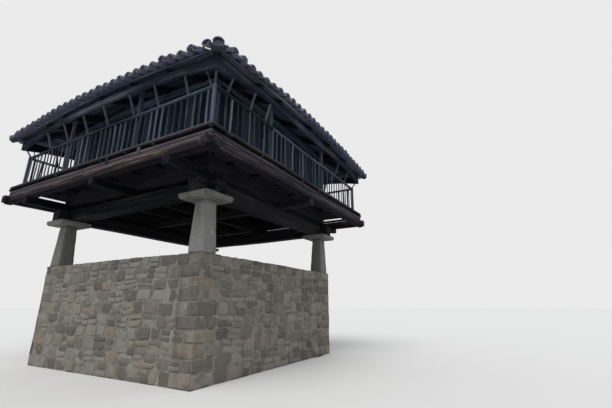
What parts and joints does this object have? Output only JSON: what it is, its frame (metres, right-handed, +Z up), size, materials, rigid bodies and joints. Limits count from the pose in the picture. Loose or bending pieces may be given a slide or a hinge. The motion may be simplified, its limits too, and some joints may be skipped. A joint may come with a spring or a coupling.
{
  "type": "raised timber granary with gallery",
  "caption": "Square timber granary with an open gallery, on stone pillars above a rubble-stone ground storey, under a hipped clay tile roof.",
  "frame": {"origin": "on the ground under the middle of the square plan", "axes": "+Z up; the front looks along -Y, the right side along +X; the doors are in the back, +Y"},
  "size_m": [8.92, 8.92, 9.1745],
  "materials": {
    "rubble_stone": "rough rubble with lime mortar",
    "dressed_stone": "worn, lichen spotted",
    "dark_timber": "old, dark and cracked",
    "grey_timber": "weathered grey-brown",
    "brown_log": "weathered, split along the grain",
    "wall_planks": "nearly black old planks",
    "clay_tile": "dark, dirty and lichen covered"
  },
  "bodies": {
    "root": {"ground_wall_front": "rubble_stone", "ground_wall_left": "rubble_stone", "ground_wall_right": "rubble_stone", "ground_wall_back": "rubble_stone", "ground_wall_over_door": "rubble_stone", "ground_door_lintel": "dark_timber", "stone_pillars": "dressed_stone", "capstones": "dressed_stone", "main_beams_front_back": "dark_timber", "main_beams_sides": "dark_timber", "cross_bearers": "grey_timber", "long_bearer": "grey_timber", "floor_sills": "dark_timber", "floor_beams": "dark_timber", "granary_floor": "dark_timber", "edge_logs_front_back": "brown_log", "edge_logs_sides": "brown_log", "fascia_boards": "brown_log", "gallery_joists": "dark_timber", "gallery_floor": "dark_timber", "gallery_edge_boards": "brown_log", "gallery_posts": "grey_timber", "railing_front": "grey_timber", "railing_right": "grey_timber", "railing_left": "grey_timber", "railing_back": "grey_timber", "eaves_struts": "grey_timber", "eaves_plates": "grey_timber", "wall_front": "wall_planks", "wall_left": "wall_planks", "wall_right": "wall_planks", "wall_back": "wall_planks", "wall_over_door": "wall_planks", "wall_corner_posts": "dark_timber", "door_posts": "dark_timber", "door_head": "dark_timber", "door_leaf": "wall_planks", "top_beams": "dark_timber", "hip_rafters": "dark_timber", "common_rafters": "dark_timber", "apex_block": "dark_timber", "roof_boards": "dark_timber", "roof_tiles": "clay_tile", "hip_tiles": "clay_tile", "apex_stone": "dressed_stone"}
  },
  "joints": []
}
